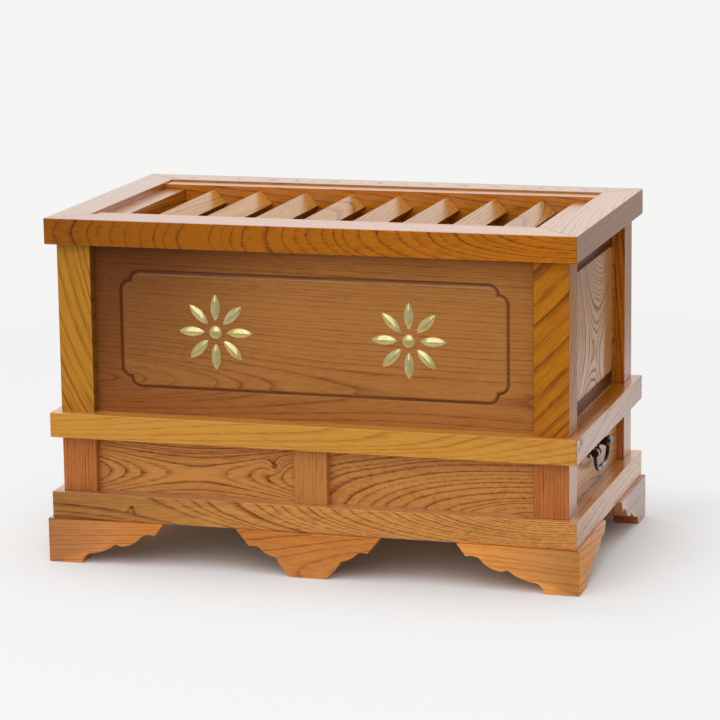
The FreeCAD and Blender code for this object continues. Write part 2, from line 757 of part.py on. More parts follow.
def bail():
    """The swinging bail: a bent wire with a swelled grip, a boss at each leg's top and a pin in each eye."""
    boss = "(bail_wire + boss_lip)"
    leg = f"(pull_spacing / 2 + eye_radius + bail_gap + {boss})"
    body = doc.addObject("PartDesign::Body", "bail_wire_bent")
    route = sketch_on(body, "YZ_Plane", "bail_route")
    spots = [
        (f"-{leg}", "0"),
        (f"-{leg}", "bail_corner - bail_drop"),
        (f"bail_corner - {leg}", "-bail_drop"),
        (f"{leg} - bail_corner", "-bail_drop"),
        (leg, "bail_corner - bail_drop"),
        (leg, "0"),
    ]
    outline(route, spots, {1: ("bail_corner", 1), 3: ("bail_corner", 1)}, closed=False)
    section = sketch_on(body, "XY_Plane", "bail_section")
    circle_on(section, "0", f"-{leg}", "bail_wire")
    wire = body.newObject("PartDesign::AdditivePipe", "bail_bend")
    wire.Profile = section
    wire.Spine = (route, [""])
    put(body, f"{DRAWER_FACE} + pull_reach", "0", PULL_HEIGHT)
    grip = doc.addObject("Part::Ellipsoid", "bail_grip")
    bind(grip, Radius1="grip_radius", Radius2="grip_radius", Radius3="grip_half")
    put(grip, f"{DRAWER_FACE} + pull_reach", "0", f"{PULL_HEIGHT} - bail_drop")
    pieces = [body, grip]
    for hand in (-1, 1):
        inner_end = "(pull_spacing / 2 - eye_radius - pin_spare)"
        pieces.append(bail_rod("pin", hand, inner_end, f"{leg}", "pin_radius"))
        pieces.append(bail_rod("boss", hand, f"({leg} - {boss})", f"({leg} + {boss})", "boss_radius"))
    keep(fused("bail_joined", pieces), "pull_bail")


def bail_rod(name, hand, start, end, radius):
    """A round rod along Y on the bail's axis, from start to end at one hand."""
    rod = doc.addObject("Part::Cylinder", f"bail_{name}")
    rod.Placement.Rotation = FreeCAD.Rotation(FreeCAD.Vector(1, 0, 0), -90)
    bind(rod, Radius=radius, Height=f"{end} - {start}")
    put(rod, f"{DRAWER_FACE} + pull_reach", start if hand > 0 else f"-{end}", PULL_HEIGHT)
    return rod


def export():
    """Stop at anything that failed to build, then write one file per node."""
    doc.recompute()
    failed = [item.Name for item in doc.Objects if {"Invalid", "Error"} & set(item.State)]
    failed += [node.Label for node in nodes if node.Shape.isNull() or not node.Shape.isValid()]
    if failed:
        raise RuntimeError(f"failed to build: {failed}")
    os.makedirs("parts", exist_ok=True)
    for node in nodes:
        node.Shape.exportStep(f"parts/{node.Label}.step")


def main():
    high_panels = upper_panels()
    low_panels = lower_panels()
    uprights = muntins(low_panels)
    high_posts = posts("upper", BELT_TOP, "upper_height", high_panels)
    low_posts = posts("lower", BAY_BOTTOM, "lower_height", low_panels)
    high = high_posts + high_panels
    low = low_posts + low_panels + uprights
    rails("top", "top_width", "top_thick", FRAME_BOTTOM, high)
    rails("belt", "belt_width", "belt_thick", BELT_BOTTOM, high + low)
    rails("plinth", "plinth_width", "plinth_thick", "foot_height", low, floor=[bay_floor()])
    bars = grille_bars() + end_bars(high)
    bearers(high, bars)
    drawer_guides(uprights)
    corner_feet()
    middle_feet()
    glue_blocks()
    drawer()
    bail()
    export()


main()
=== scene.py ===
"""Looks of the donation box: lacquered wood with growth rings, gilded rosettes and a black iron pull."""

import math
import random

import bmesh
import bpy
from mathutils import Matrix, Vector


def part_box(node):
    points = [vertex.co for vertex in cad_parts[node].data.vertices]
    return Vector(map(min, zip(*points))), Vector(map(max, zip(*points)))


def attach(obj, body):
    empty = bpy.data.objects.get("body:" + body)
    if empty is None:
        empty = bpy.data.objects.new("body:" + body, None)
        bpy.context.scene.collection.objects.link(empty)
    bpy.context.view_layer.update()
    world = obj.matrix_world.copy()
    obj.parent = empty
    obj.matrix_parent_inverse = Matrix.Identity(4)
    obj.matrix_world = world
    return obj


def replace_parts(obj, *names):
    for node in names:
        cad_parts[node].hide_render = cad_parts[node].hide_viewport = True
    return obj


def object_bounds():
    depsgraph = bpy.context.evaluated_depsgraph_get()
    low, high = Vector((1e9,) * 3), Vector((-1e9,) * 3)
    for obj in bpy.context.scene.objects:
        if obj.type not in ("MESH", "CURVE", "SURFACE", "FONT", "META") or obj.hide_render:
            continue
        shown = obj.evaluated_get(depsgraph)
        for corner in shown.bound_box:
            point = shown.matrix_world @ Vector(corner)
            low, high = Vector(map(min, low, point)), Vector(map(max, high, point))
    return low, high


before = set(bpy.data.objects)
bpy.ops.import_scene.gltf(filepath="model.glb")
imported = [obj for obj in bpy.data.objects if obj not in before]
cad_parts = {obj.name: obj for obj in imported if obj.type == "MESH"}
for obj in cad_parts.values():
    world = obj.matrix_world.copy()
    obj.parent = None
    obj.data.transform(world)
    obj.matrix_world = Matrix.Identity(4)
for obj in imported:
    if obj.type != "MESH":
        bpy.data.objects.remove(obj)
cad_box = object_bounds()

MM = 0.001

# Places on the box in millimetres: the front panel's face, the posts' sides towards the long panels, the end
# panels' raised fields and the front rails' ends. The rosettes' middles are given by offset and height.
PANEL_FACE = -150.5
POST_INNER = 250.5
END_FACE = 277.5
RAIL_END = 300
ROSETTE_OFFSET = 110
ROSETTE_HEIGHT = 265

# End panels with a raised field inside a sunk channel, and how deep the channel's slope starts and ends.
FIELDED = ("upper_panel_left", "upper_panel_right")
CHANNEL_SLOPE = (1.0, 4.0)

# How far the carved border reaches from the front panel's middle, outside and inside.
BORDER_X = (226, 192)
BORDER_Z = (69, 35)

# Grid of the carved panel: steps in the margin, along the border and over the field.
MARGIN_STEP = 8
BORDER_STEP = 0.5
FIELD_STEP_X = 16
FIELD_STEP_Z = 12

PETALS = 8

# Widths of the eased edges, of most boards and of the grille's.
ARRIS = 0.8
BAR_ARRIS = 0.4

# The lacquer's roughness, on most boards and on the grille.
GLOSS = 0.14
GRILLE_GLOSS = 0.2

# Noise in the wood, in waves per metre.
WAVES = {"slow": 16.0, "quick": 90.0, "tone": 9.0, "streak": 260.0, "fibre": 640.0, "pore": 800.0}

# Good and bad years: their waves per ring, and how many rings they shift a line.
YEAR_WAVES = 0.23
YEAR_STRAY = 3.2

# How far a board's seed shifts its noise, and the place of a knot that isn't there, in metres.
SEED_STEP = (0.73, 0.31, 0.57)
FAR_KNOT = (9.0, 9.0, 9.0)

# How a board is cut where that isn't listed: the tilt of its tree, the pith's distance, the rings.
TILT = 0.06
PITH_AWAY = (25, 60)
RING_WIDTHS = (2.2, 4.0)

# The front panel's corner of painted shade, in metres, and where two front rails' darker ends stop, from the
# middle.
SHADED_CORNER = (-0.25, -0.15, 0.36)
DARKER_LEFT_ENDS = {"top_rail_front": 250, "plinth_rail_front": 0}


def srgb(red, green, blue):
    """A colour written in screen values, as the linear colour that Blender uses."""
    linear = []
    for level in (red / 255, green / 255, blue / 255):
        linear.append(level / 12.92 if level <= 0.04045 else ((level + 0.055) / 1.055) ** 2.4)
    return (*linear, 1.0)


# Tones of the boards, as the colours between the rings' lines and in them.
TONES = {
    "amber": (srgb(216, 126, 8), srgb(116, 46, 2)),
    "honey": (srgb(214, 148, 42), srgb(150, 84, 14)),
    "gold": (srgb(232, 163, 64), srgb(190, 114, 32)),
    "brass": (srgb(192, 122, 18), srgb(118, 58, 6)),
    "bronze": (srgb(210, 130, 20), srgb(140, 70, 6)),
    "ochre": (srgb(208, 124, 16), srgb(112, 50, 4)),
    "toffee": (srgb(198, 131, 64), srgb(148, 82, 34)),
    "umber": (srgb(180, 108, 34), srgb(92, 40, 10)),
    "russet": (srgb(210, 126, 60), srgb(138, 62, 22)),
    "copper": (srgb(224, 140, 56), srgb(168, 86, 26)),
    # A lighter tone with painted light, for the front right foot, which is lit more than the other feet.
    "lit_apricot": (srgb(250, 168, 76), srgb(214, 120, 44)),
    "tan": (srgb(214, 142, 70), srgb(152, 82, 30)),
    "sand": (srgb(231, 159, 78), srgb(126, 58, 14)),
    "pale": (srgb(226, 190, 140), srgb(178, 132, 80)),
}
BARE_WOOD = "pale"
# Deep brown for the darker left ends of two front rails, and painted shade on the posts' sides beside the
# long panels.
DEEP_BROWN = srgb(70, 28, 6)
# Red brown of the front panel's margin: partly its own redder tone, partly painted shade towards the left.
RED_STAIN_AND_SHADE = srgb(112, 38, 16)
# Painted shade in the end panels' sunk channels.
CHANNEL_SHADE = srgb(104, 48, 10)
# Painted shade at the front panel's upper left corner and in its carved crease.
SHADE_BROWN = srgb(78, 24, 2)
LEAF = srgb(255, 246, 188)
WORN_LEAF = srgb(254, 230, 138)
IRON = srgb(24, 23, 23)
WORN_IRON = srgb(58, 56, 55)

# Colours of the studio, already linear.
WHITE = (1, 1, 1, 1)
BACKDROP = (0.91, 0.91, 0.905, 1)
LIT_FLOOR = (0.94, 0.95, 0.955, 1)
DULL_FLOOR = (0.36, 0.36, 0.355, 1)
DIM_FLOOR = (0.05, 0.05, 0.05, 1)


class Weaver:
    """Adds nodes to a tree. An input is another node's socket, or a constant."""

    def __init__(self, tree):
        self.tree = tree

    def plug(self, node, inputs):
        """Link or set some of a node's inputs."""
        for socket, given in inputs.items():
            if isinstance(given, bpy.types.NodeSocket):
                self.tree.links.new(given, node.inputs[socket])
            else:
                node.inputs[socket].default_value = given

    def add(self, kind, inputs, output=0, **settings):
        """One output of a new node."""
        node = self.tree.nodes.new(kind)
        for name, setting in settings.items():
            setattr(node, name, setting)
        self.plug(node, inputs)
        return node.outputs[output]

    def place(self):
        """The shaded point, in the piece's own frame."""
        return self.add("ShaderNodeTexCoord", {}, "Object")

    def rays(self):
        """Which kind of ray sees the point."""
        return self.tree.nodes.new("ShaderNodeLightPath").outputs

    def math(self, operation, *given):
        """An operation on numbers."""
        return self.add("ShaderNodeMath", dict(enumerate(given)), operation=operation)

    def vector(self, operation, *given):
        """A vector operation that gives a vector."""
        return self.add("ShaderNodeVectorMath", dict(enumerate(given)), operation=operation)

    def measure(self, operation, *given):
        """A vector operation that gives a number."""
        return self.add("ShaderNodeVectorMath", dict(enumerate(given)), "Value", operation=operation)

    def scaled(self, vector, factor):
        """A vector times a number."""
        inputs = {"Vector": vector, "Scale": factor}
        return self.add("ShaderNodeVectorMath", inputs, operation="SCALE")

    def split(self, vector):
        """The X, Y and Z of a vector."""
        node = self.tree.nodes.new("ShaderNodeSeparateXYZ")
        self.plug(node, {0: vector})
        return node.outputs

    def noise(self, vector, scale, detail=2.0, roughness=0.5):
        """A noise from 0 to 1."""
        inputs = {"Vector": vector, "Scale": scale, "Detail": detail, "Roughness": roughness}
        return self.add("ShaderNodeTexNoise", inputs)

    def centred(self, noise):
        """A noise from 0 to 1 as one round 0."""
        return self.math("SUBTRACT", noise, 0.5)

    def weighed(self, terms, start=0.0):
        """The sum of a start and of numbers times their weights."""
        total = start
        for number, weight in terms:
            total = self.math("MULTIPLY_ADD", number, weight, total)
        return total

    def clamp(self, number):
        """A number held between 0 and 1."""
        return self.add("ShaderNodeClamp", {"Value": number})

    def step(self, number, low, high, start=0.0, end=1.0):
        """A smooth step from start to end as a number goes from low to high."""
        inputs = {"Value": number, "From Min": low, "From Max": high, "To Min": start, "To Max": end}
        return self.add("ShaderNodeMapRange", inputs, interpolation_type="SMOOTHSTEP")

    def step_mm(self, length, low, high, start=0.0, end=1.0):
        """A smooth step as a length goes from low to high, which are in millimetres."""
        return self.step(length, low * MM, high * MM, start, end)

    def blend(self, factor, first, second):
        """A mix of two colours."""
        return self.add("ShaderNodeMix", {0: factor, 6: first, 7: second}, 2, data_type="RGBA")

    def bump(self, height, strength, distance):
        """A normal tilted by a height, which is worth a distance in millimetres."""
        inputs = {"Strength": strength, "Distance": distance * MM, "Height": height}
        return self.add("ShaderNodeBump", inputs)

    def mix(self, factor, first, second):
        """A mix of two shaders."""
        return self.add("ShaderNodeMixShader", {0: factor, 1: first, 2: second})

    def glow(self, colour):
        """A shader that gives off one colour."""
        return self.add("ShaderNodeEmission", {"Color": colour})


def declare(tree, side, kinds):
    """Give a node group its inputs or outputs, from names listed by kind of socket."""
    for kind, names in kinds.items():
        for name in names:
            tree.interface.new_socket(name, in_out=side, socket_type=f"NodeSocket{kind}")


def stretched(w, given, point, along, share):
    """A place for noise drawn out along the tree, by taking away a share of the way along it."""
    shifted = w.vector("ADD", point, w.scaled(SEED_STEP, given["Seed"]))
    return w.vector("SUBTRACT", shifted, w.scaled(w.scaled(given["Axis"], along), share))


def knot_share(w, given):
    """How much of a knot there is at a point: 1 in its middle, and almost none two sizes away."""
    gap = w.measure("LENGTH", w.vector("SUBTRACT", given["Place"], given["Knot"]))
    reach = w.math("DIVIDE", gap, given["Knot Size"])
    return w.math("EXPONENT", w.math("MULTIPLY", w.math("MULTIPLY", reach, reach), -1.0))


def ring_radius(w, given, straight, slow_place, knot):
    """A point's distance from the pith, with the rings' straying and their bulge round a knot."""
    quick_share, bulge = 0.12, 0.55
    radius = w.measure("LENGTH", w.vector("CROSS_PRODUCT", straight, given["Axis"]))
    slow = w.centred(w.noise(slow_place, WAVES["slow"], detail=1.0))
    quick = w.centred(w.noise(slow_place, WAVES["quick"], detail=1.0))
    stray = w.math("MULTIPLY_ADD", quick, quick_share, slow)
    radius = w.math("MULTIPLY_ADD", stray, given["Wander"], radius)
    return w.math("MULTIPLY_ADD", w.math("MULTIPLY", knot, given["Knot Size"]), bulge, radius)


def ring_count(w, given, radius):
    """How many rings a point is from the pith, where years differ in width."""
    count = w.math("DIVIDE", radius, given["Ring"])
    inputs = {"W": count, "Scale": YEAR_WAVES, "Detail": 1.0}
    years = w.add("ShaderNodeTexNoise", inputs, noise_dimensions="1D")
    return w.math("MULTIPLY_ADD", w.centred(years), YEAR_STRAY, count)


def line_fade(w, given, phase):
    """How a ring's dark line fades from its sharp edge: a dense start and a long tail."""
    share = w.math("DIVIDE", phase, given["Vein"])
    tail = w.step(share, 0.1, 1.2, start=0.75, end=0.0)
    return w.math("ADD", tail, w.step(share, 0.15, 0.6, start=0.3, end=0.0))


def dark_line(w, fade, phase, luck, fibre):
    """A ring's dark line, stronger in some years and a little uneven along the fibres."""
    weight = w.math("MULTIPLY_ADD", luck, 0.5, 0.5)
    vein = w.math("MULTIPLY", w.math("MULTIPLY", fade, w.step(phase, 0.0, 0.05)), weight)
    return w.math("MULTIPLY", vein, w.step(fibre, 0.15, 0.6, start=0.78, end=1.05))


def pores(w, fade, fine_place):
    """Pores, which are strongest in the dark lines."""
    pore = w.step(w.noise(fine_place, WAVES["pore"], detail=1.0), 0.56, 0.68)
    return w.math("MULTIPLY", pore, w.math("MULTIPLY_ADD", fade, 0.6, 0.4))


def ring_wood():
    """Node group of sawn wood: rings round a tilted pith, with pores, fibres and a change of tone.

    Place is a point, Pith a point on the tree's middle line and Axis its direction. Bow bends that line,
    Ring is a ring's width, Wander how far the rings stray, and Vein the share of a ring that is dark.
    """
    tree = bpy.data.node_groups.new("ring_wood", "ShaderNodeTree")
    places_in = ("Place", "Pith", "Axis", "Bow", "Knot")
    numbers_in = ("Ring", "Wander", "Vein", "Knot Size", "Seed")
    declare(tree, "INPUT", {"Vector": places_in, "Float": numbers_in, "Color": ("Light", "Dark")})
    declare(tree, "OUTPUT", {"Color": ("Color",), "Float": ("Roughness", "Height")})
    given = tree.nodes.new("NodeGroupInput").outputs
    w = Weaver(tree)

    from_pith = w.vector("SUBTRACT", given["Place"], given["Pith"])
    along = w.measure("DOT_PRODUCT", from_pith, given["Axis"])
    bend = w.scaled(given["Bow"], w.math("MULTIPLY", along, along))
    straight = w.vector("SUBTRACT", from_pith, bend)
    slow_place = stretched(w, given, straight, along, share=0.8)
    fine_place = stretched(w, given, straight, along, share=0.92)

    knot = knot_share(w, given)
    radius = ring_radius(w, given, straight, slow_place, knot)
    count = ring_count(w, given, radius)
    phase = w.math("FRACT", count)
    luck = w.add("ShaderNodeTexWhiteNoise", {"W": w.math("FLOOR", count)}, noise_dimensions="1D")
    fibre = w.noise(fine_place, WAVES["fibre"], roughness=0.65)
    streak = w.noise(fine_place, WAVES["streak"], roughness=0.6)
    tone = w.noise(slow_place, WAVES["tone"])
    late = w.step(phase, 0.35, 1.0)
    fade = line_fade(w, given, phase)
    vein = dark_line(w, fade, phase, luck, fibre)
    pore = pores(w, fade, fine_place)

    darkness = [
        (vein, 0.85),
        (late, 0.12),
        (luck, 0.10),
        (pore, 0.28),
        (w.centred(fibre), 0.9),
        (w.centred(streak), 0.75),
        (w.centred(tone), 0.75),
        (w.step(knot, 0.72, 0.98), 0.8),
    ]
    dark = w.clamp(w.weighed(darkness))
    looks = {
        "Color": w.blend(dark, given["Light"], given["Dark"]),
        "Roughness": w.weighed([(vein, 0.14), (fibre, 0.08)], 0.30),
        "Height": w.weighed([(fibre, 0.06), (vein, -0.8), (pore, -0.25)]),
    }
    w.plug(tree.nodes.new("NodeGroupOutput"), looks)
    return tree


def grain(tone, pith, axis, ring, bow=(0, 0, 0), wander=5, vein=0.45, knot=None, knot_size=6, **finish):
    """How a board is sawn. Pith, ring, wander and knot are in millimetres; bow is per metre.

    Finish may set coat, the lacquer's weight, gloss, its roughness, and bare, how far the lines show
    through it.
    """
    return {
        "tone": tone,
        "gloss": finish.get("gloss", GLOSS),
        "bare": finish.get("bare", 0.0),
        "coat": finish.get("coat", 1.0),
        "sawing": {
            "Pith": [number * MM for number in pith],
            "Axis": Vector(axis).normalized(),
            "Ring": ring * MM,
            "Bow": bow,
            "Wander": wander * MM,
            "Vein": vein,
            "Knot": [number * MM for number in knot] if knot else FAR_KNOT,
            "Knot Size": knot_size * MM,
        },
    }


# Boards whose figure follows the photograph.
GRAINS = {
    "top_rail_front": grain("amber", (-300, -45, 374), (1, -0.17, -0.02), 2.8, bow=(0, 0, 0.12), vein=0.3),
    "top_rail_right": grain("brass", (320, 0, 300), (0.03, 1, 0.05), 2.4, vein=0.3, bare=0.3),
    "upper_panel_front": grain(
        "toffee", (-225, -143, 208), (1, 0.15, -0.01), 4.4, bow=(0, -0.2, 0), wander=9, vein=0.3
    ),
    "belt_rail_front": grain("gold", (-60, -120, 182), (1, 0.05, -0.02), 2.6, wander=8, vein=0.4),
    "lower_panel_front_left": grain(
        "sand",
        (-140, -118, 103),
        (1, 0, 0.02),
        2.5,
        bow=(0, -0.9, 0),
        vein=0.55,
        knot=(-45, -150.5, 118),
        knot_size=9,
    ),
    "lower_panel_front_right": grain("sand", (40, -90, 70), (1, -0.28, 0.0), 4.6, wander=10, vein=0.5),
    "plinth_rail_front": grain(
        "sand", (-300, -90, 84), (1, 0, 0), 2.4, bow=(0, -0.25, 0.05), knot=(-206, -173, 66), knot_size=5
    ),
    "foot_front_left": grain("copper", (-240, -200, -20), (1, 0.03, 0.05), 3.4, coat=0.7),
    "foot_middle_front": grain("copper", (60, -128, 4), (1, -0.1, 0.02), 5.0, wander=9, vein=0.3, coat=0.7),
    # Painted light: this foot's lighter tone stands for the stronger light on it.
    "foot_front_right": grain("lit_apricot", (240, -190, 70), (1, 0.05, -0.05), 7.0, wander=9, coat=0.7),
    "foot_rear_right": grain("russet", (250, 40, 90), (1, 0.04, 0.06), 8.0, wander=9, vein=0.3),
    "upper_post_front_left": grain(
        "honey", (-458, -160, 197), (0.34, 0, -0.94), 9.0, bow=(0.9, 0, 0.33), vein=0.6
    ),
    "upper_post_front_right": grain(
        "bronze", (188, -307, 347), (0.7, 0, 0.72), 9.0, wander=22, vein=0.6, coat=0.25
    ),
    "lower_post_front_left": grain("russet", (-340, -180, 110), (0.01, 0.02, 1), 2.6, wander=3),
    "lower_post_front_right": grain("russet", (340, -190, 110), (0.0, 0.02, 1), 2.8, wander=3),
    "muntin_front": grain("tan", (60, -200, 110), (0.01, 0, 1), 2.2, wander=2, vein=0.2),
    "top_rail_rear": grain("brass", (-60, 150, 430), (1, 0.01, 0.08), 2.4, vein=0.35, bare=0.5),
    "upper_panel_right": grain(
        "sand", (157, 18, 228), (0, 0.24, 1), 3.7, bow=(4.5, 0, 0), wander=11, vein=0.55, gloss=0.1, bare=2.0
    ),
    "belt_rail_right": grain("ochre", (330, 20, 175), (0.05, 1, 0.06), 8.0, wander=16, vein=0.2, bare=0.8),
    "drawer_front": grain("sand", (240, -60, 60), (-0.1, 1, 0.05), 5.0, wander=9, vein=0.25, coat=0.4),
    "plinth_rail_right": grain("sand", (340, -40, 40), (-0.06, 1, -0.05), 5.0, wander=14, vein=0.2, bare=0.6),
    "grille_bearer_rear": grain("ochre", (0, 160, 320), (1, 0, -0.11), 6.0, vein=0.25, gloss=GRILLE_GLOSS),
}

# Tones of the other boards, by how their names start. The first that fits counts.
AUTO_TONES = {
    "top_rail": "brass",
    "upper_post": "amber",
    "belt_rail": "gold",
    "grille_bar": "honey",
    "grille": "ochre",
    "upper_panel_left": "sand",
    "upper_panel": "umber",
    "lower_panel": "sand",
    "lower_post": "russet",
    "muntin": "tan",
    "plinth": "sand",
    "foot_glue": BARE_WOOD,
    "foot": "russet",
    "drawer_front": "sand",
    "drawer": BARE_WOOD,
    "bay_floor": BARE_WOOD,
}


def sawn(node):
    """A plausible cut for a board that is not listed, the same each time."""
    tone = next(name for start, name in AUTO_TONES.items() if node.startswith(start))
    low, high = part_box(node)
    size = high - low
    middle = (low + high) / 2
    longest = max(range(3), key=lambda number: size[number])
    draw = random.Random(node)
    pith = [middle[number] / MM for number in range(3)]
    axis = [draw.uniform(-TILT, TILT) for _ in range(3)]
    axis[longest] = 1
    for number in range(3):
        if number != longest:
            pith[number] += draw.choice((-1, 1)) * draw.uniform(*PITH_AWAY)
    gloss = GRILLE_GLOSS if node.startswith("grille") else GLOSS
    return grain(tone, pith, axis, draw.uniform(*RING_WIDTHS), gloss=gloss)


def mitred(w, place, corner):
    """Turn a corner foot's grain along Y in the board beyond the mitre from its outer corner."""
    parts = w.split(w.vector("SUBTRACT", place, corner))
    side_board = w.math("LESS_THAN", w.math("ABSOLUTE", parts["X"]), w.math("ABSOLUTE", parts["Y"]))
    swapped = w.add("ShaderNodeCombineXYZ", {"X": parts["Y"], "Y": parts["X"], "Z": parts["Z"]})
    turned = w.vector("ADD", swapped, corner)
    return w.add("ShaderNodeMix", {0: side_board, 4: place, 5: turned}, 1, data_type="VECTOR")


def fibre_place(name, w, place):
    """Where a point of a board is in its tree. Only a corner foot's second board is turned."""
    if not name.startswith(("foot_front", "foot_rear")):
        return place
    low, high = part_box(name)
    x = low.x if name.endswith("left") else high.x
    y = low.y if "front" in name else high.y
    return mitred(w, place, (x, y, 0))


def panel_depth(w, place):
    """How deep a point is below the front panel's face."""
    return w.math("SUBTRACT", w.split(place)["Y"], PANEL_FACE * MM)


def channel_step(w, place, start, end):
    """A smooth step from an upper end panel's field down into its channel."""
    depth = w.math("SUBTRACT", END_FACE * MM, w.math("ABSOLUTE", w.split(place)["X"]))
    return w.step_mm(depth, *CHANNEL_SLOPE, start, end)


def panel_stain_and_shade(w, place):
    """Colour on the front panel: a redder sunk margin with painted shade to the left, painted shade at the
    upper left corner, and painted shade in the crease.
    """
    depth = panel_depth(w, place)
    margin = w.step_mm(depth, 0.2, 0.4)
    # The margin is redder; its extra darkening towards the left is painted shade.
    redness_and_shade = w.step(w.split(place)["X"], -0.25, 0.1, start=0.36, end=0.08)
    corner = w.measure("DISTANCE", place, SHADED_CORNER)
    return [
        (RED_STAIN_AND_SHADE, w.math("MULTIPLY", margin, redness_and_shade)),
        # Painted shade at the upper left corner under the top rail, and in the crease.
        (SHADE_BROWN, w.step(corner, 0.02, 0.26, start=0.6, end=0.0)),
        (SHADE_BROWN, w.step_mm(depth, 0.6, 1.5, end=0.62)),
    ]


def darker_left_end(w, place, end):
    """A rail along the front made darker towards its left end, back to its own colour at some distance from
    the middle.
    """
    return [(DEEP_BROWN, w.step_mm(w.split(place)["X"], -RAIL_END, end, start=0.4, end=0.0))]


def post_side_shade(w, place):
    """Painted shade on a post's side that a long panel is grooved into: the recess beside the panel made
    darker.
    """
    across = w.math("ABSOLUTE", w.split(place)["X"])
    return [(DEEP_BROWN, w.step_mm(across, POST_INNER + 0.1, POST_INNER + 0.9, start=0.6, end=0.0))]


def stains_and_shade_on(name, w, place):
    """The stains, darker ends and painted shade on a board, each with its share."""
    if name == "upper_panel_front":
        return panel_stain_and_shade(w, place)
    if name.startswith("upper_post"):
        return post_side_shade(w, place)
    if name in FIELDED:
        # Painted shade darkens an end panel's sunk channel.
        return [(CHANNEL_SHADE, channel_step(w, place, start=0.0, end=0.75))]
    if name in DARKER_LEFT_ENDS:
        return darker_left_end(w, place, DARKER_LEFT_ENDS[name])
    return []


def coat_weight(name, cut, w, place, height):
    """The lacquer's weight on a board: less in carving, and in lines that show through it."""
    if name == "upper_panel_front":
        return w.step_mm(panel_depth(w, place), 0.05, 0.4, start=1.0, end=0.1)
    if not cut["bare"]:
        return cut["coat"]
    coat = w.math("MULTIPLY_ADD", height, cut["bare"], cut["coat"])
    if name in FIELDED:
        coat = w.math("MINIMUM", coat, channel_step(w, place, start=1.0, end=0.1))
    return w.clamp(coat)


def new_material(name):
    """A material, its main shader, and a weaver for its nodes."""
    material = bpy.data.materials.new(name)
    material.use_nodes = True
    tree = material.node_tree
    return material, tree.nodes["Principled BSDF"], Weaver(tree)


def wood(name, cut, group):
    """A material for one board, lacquered unless its wood is bare."""
    material, shader, w = new_material(name)
    place = w.place()
    light, dark = TONES[cut["tone"]]
    seed = random.Random(name).uniform(0, 9)
    rings = w.tree.nodes.new("ShaderNodeGroup")
    rings.node_tree = group
    w.plug(rings, {"Place": fibre_place(name, w, place), "Light": light, "Dark": dark, "Seed": seed})
    w.plug(rings, cut["sawing"])
    colour = rings.outputs["Color"]
    # Stains, darker ends and painted shade are laid over the grain.
    for overlay, share in stains_and_shade_on(name, w, place):
        colour = w.blend(share, colour, overlay)
    height = rings.outputs["Height"]
    normal = w.bump(height, strength=0.25, distance=0.12)
    w.plug(shader, {"Base Color": colour, "Roughness": rings.outputs["Roughness"], "Normal": normal})
    if cut["tone"] != BARE_WOOD:
        lacquer = {
            "Coat Normal": normal,
            "Coat Weight": coat_weight(name, cut, w, place, height),
            "Coat Roughness": cut["gloss"],
            "Coat IOR": 1.56,
            "Specular IOR Level": 0.2,
        }
        w.plug(shader, lacquer)
    return material


def gold_leaf():
    """Gold leaf over wood, with faint tool marks and thin places."""
    material, shader, w = new_material("gold_leaf")
    place = w.place()
    patch = w.noise(place, scale=180.0, detail=3.0)
    marks = w.noise(place, scale=320.0)
    looks = {
        "Base Color": w.blend(w.step(patch, 0.35, 0.7), LEAF, WORN_LEAF),
        "Roughness": w.step(marks, 0.2, 0.8, start=0.14, end=0.26),
        "Normal": w.bump(marks, strength=0.1, distance=0.2),
        "Metallic": 0.5,
    }
    w.plug(shader, looks)
    return material


def black_iron():
    """Black lacquered iron, slightly uneven and worn grey on its lumps."""
    material, shader, w = new_material("black_iron")
    lumps = w.noise(w.place(), scale=420.0, detail=3.0)
    looks = {
        "Base Color": w.blend(w.step(lumps, 0.5, 0.75), IRON, WORN_IRON),
        "Roughness": w.step(lumps, 0.3, 0.7, start=0.18, end=0.36),
        "Normal": w.bump(lumps, strength=0.4, distance=0.3),
        "Metallic": 0.7,
        "Coat Weight": 1.0,
        "Coat Roughness": 0.12,
    }
    w.plug(shader, looks)
    return material


def soften(piece, width):
    """Ease a CAD board's arrises, and keep its faces flat between them."""
    weld = piece.modifiers.new("weld", "WELD")
    weld.merge_threshold = 0.01 * MM
    flat = piece.modifiers.new("flat", "DECIMATE")
    flat.decimate_type = "DISSOLVE"
    flat.angle_limit = math.radians(0.4)
    arris = piece.modifiers.new("arris", "BEVEL")
    arris.width = width * MM
    arris.segments = 2
    arris.limit_method = "ANGLE"
    arris.angle_limit = math.radians(40)
    shade = piece.modifiers.new("shade", "WEIGHTED_NORMAL")
    shade.weight = 100


def dress_boards():
    """Give every CAD node its material, and ease the boards' arrises."""
    group = ring_wood()
    iron = black_iron()
    for name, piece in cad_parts.items():
        if name.startswith("pull_"):
            material = iron
        else:
            material = wood(name, GRAINS.get(name) or sawn(name), group)
            if name != "upper_panel_front":
                soften(piece, BAR_ARRIS if name.startswith("grille") else ARRIS)
        piece.data.materials.clear()
        piece.data.materials.append(material)


def link(name, data):
    """An object in the scene."""
    piece = bpy.data.objects.new(name, data)
    bpy.context.scene.collection.objects.link(piece)
    return piece


def meshed(name, mesh, material):
    """An object from a finished bmesh."""
    data = bpy.data.meshes.new(name)
    mesh.to_mesh(data)
    mesh.free()
    data.materials.append(material)
    return link(name, data)


def new_piece(name, mesh, material):
    """A piece on the cabinet from a mesh made in millimetres."""
    bmesh.ops.recalc_face_normals(mesh, faces=mesh.faces)
    mesh.transform(Matrix.Scale(MM, 4))
    piece = meshed(name, mesh, material)
    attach(piece, "cabinet")
    return piece


def inside(x, z, half_x, half_z, corner):
    """How far a point is inside a rounded rectangle round the origin; negative outside it."""
    a = abs(x) - half_x + corner
    b = abs(z) - half_z + corner
    return corner - math.hypot(max(a, 0), max(b, 0)) - min(max(a, b), 0)


